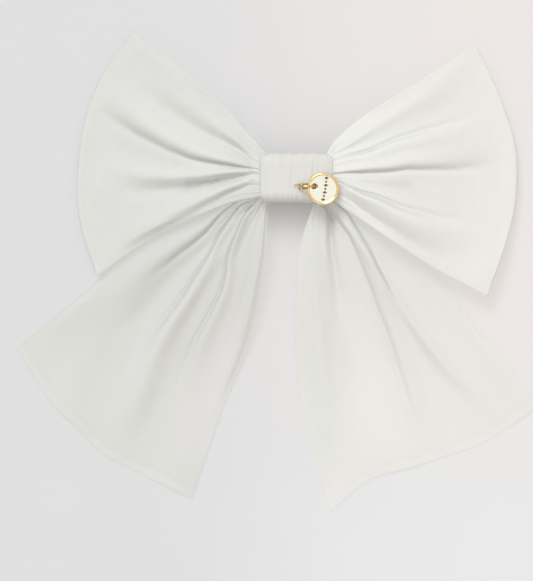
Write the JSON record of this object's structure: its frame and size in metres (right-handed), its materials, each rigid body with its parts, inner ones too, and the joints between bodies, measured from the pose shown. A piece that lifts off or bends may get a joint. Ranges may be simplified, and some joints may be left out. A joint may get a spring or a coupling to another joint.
{
  "type": "hair bow barrette",
  "caption": "Hair bow of semi-sheer tulle with loops, tails and a gathered knot, sewn to a spring barrette, with a disc charm on a jump ring.",
  "frame": {"origin": "centre of the clasp arm's flat underside, under the middle of the knot, on the surface that the bow lies on", "axes": "+X to the bow's right along the barrette, +Y up the bow away from the tails, +Z out of the bow's face"},
  "size_m": [0.1916, 0.1748, 0.0246],
  "materials": {
    "left_loop": "ivory tulle",
    "right_loop": "ivory tulle",
    "left_tail": "ivory tulle",
    "right_tail": "ivory tulle",
    "centre_wrap": "gathered ivory tulle",
    "gathered_waist": "packed ivory tulle",
    "tail_fold": "packed ivory tulle",
    "gather_thread": "ivory thread",
    "plate_lashing_left": "ivory thread",
    "plate_lashing_right": "ivory thread",
    "charm_thread": "ivory thread",
    "base_plate": "nickel plate",
    "clasp_arm": "nickel plate",
    "hinge_pin": "nickel plate",
    "tension_bar": "spring steel",
    "catch_prong_upper": "spring steel",
    "catch_prong_lower": "spring steel",
    "jump_ring": "polished gold plate",
    "charm_disc": "polished pale gold plate"
  },
  "bodies": {
    "bow_core": {"base_plate": "base_plate", "hinge_pin": "hinge_pin", "tension_bar": "tension_bar", "tail_fold": "tail_fold", "gathered_waist": "gathered_waist", "gather_thread": "gather_thread", "plate_lashing_left": "plate_lashing_left", "plate_lashing_right": "plate_lashing_right", "centre_wrap": "centre_wrap", "charm_thread": "charm_thread"},
    "clasp": {"clasp_arm": "clasp_arm"},
    "prong_upper": {"catch_prong_upper": "catch_prong_upper"},
    "prong_lower": {"catch_prong_lower": "catch_prong_lower"},
    "loop_left": {"left_loop": "left_loop"},
    "loop_right": {"right_loop": "right_loop"},
    "tail_left": {"left_tail": "left_tail"},
    "tail_right": {"right_tail": "right_tail"},
    "ring": {"jump_ring": "jump_ring"},
    "disc": {"charm_disc": "charm_disc"}
  },
  "joints": [
    {"name": "clasp_open", "type": "hinge", "parent": "bow_core", "child": "clasp", "pos_m": [-0.036, 0, 0.0043], "axis": [0, 1, 0], "range_deg": [0, 60]},
    {"name": "prong_upper_squeeze", "type": "hinge", "parent": "bow_core", "child": "prong_upper", "pos_m": [0.0371, 0.0023, 0.0058], "axis": [-1, 0, 0], "range_deg": [0, 12], "stiffness_Nm_per_rad": 0.1},
    {"name": "prong_lower_squeeze", "type": "hinge", "parent": "bow_core", "child": "prong_lower", "pos_m": [0.0371, -0.0023, 0.0058], "axis": [1, 0, 0], "range_deg": [0, 12], "stiffness_Nm_per_rad": 0.1},
    {"name": "loop_left_lift", "type": "hinge", "parent": "bow_core", "child": "loop_left", "pos_m": [-0.0164, 0, 0.0159], "axis": [0, 1, 0], "range_deg": [0, 25], "stiffness_Nm_per_rad": 0.003},
    {"name": "loop_right_lift", "type": "hinge", "parent": "bow_core", "child": "loop_right", "pos_m": [0.0164, 0, 0.0159], "axis": [0, -1, 0], "range_deg": [0, 25], "stiffness_Nm_per_rad": 0.003},
    {"name": "tail_left_swing", "type": "hinge", "parent": "bow_core", "child": "tail_left", "pos_m": [-0.0125, -0.007, 0.0106], "axis": [0, 0, -1], "range_deg": [-3, 8]},
    {"name": "tail_right_swing", "type": "hinge", "parent": "bow_core", "child": "tail_right", "pos_m": [0.008, -0.0065, 0.0106], "axis": [0, 0, 1], "range_deg": [-3, 12]},
    {"name": "ring_swing", "type": "hinge", "parent": "bow_core", "child": "ring", "pos_m": [0.00175, -0.0034, 0.02075], "axis": [0, -1, 0], "range_deg": [0, 80]},
    {"name": "disc_spin", "type": "hinge", "parent": "ring", "child": "disc", "pos_m": [0.00645, -0.0034, 0.0213], "axis": [0, 0, 1], "range_deg": [-55, 50]}
  ]
}
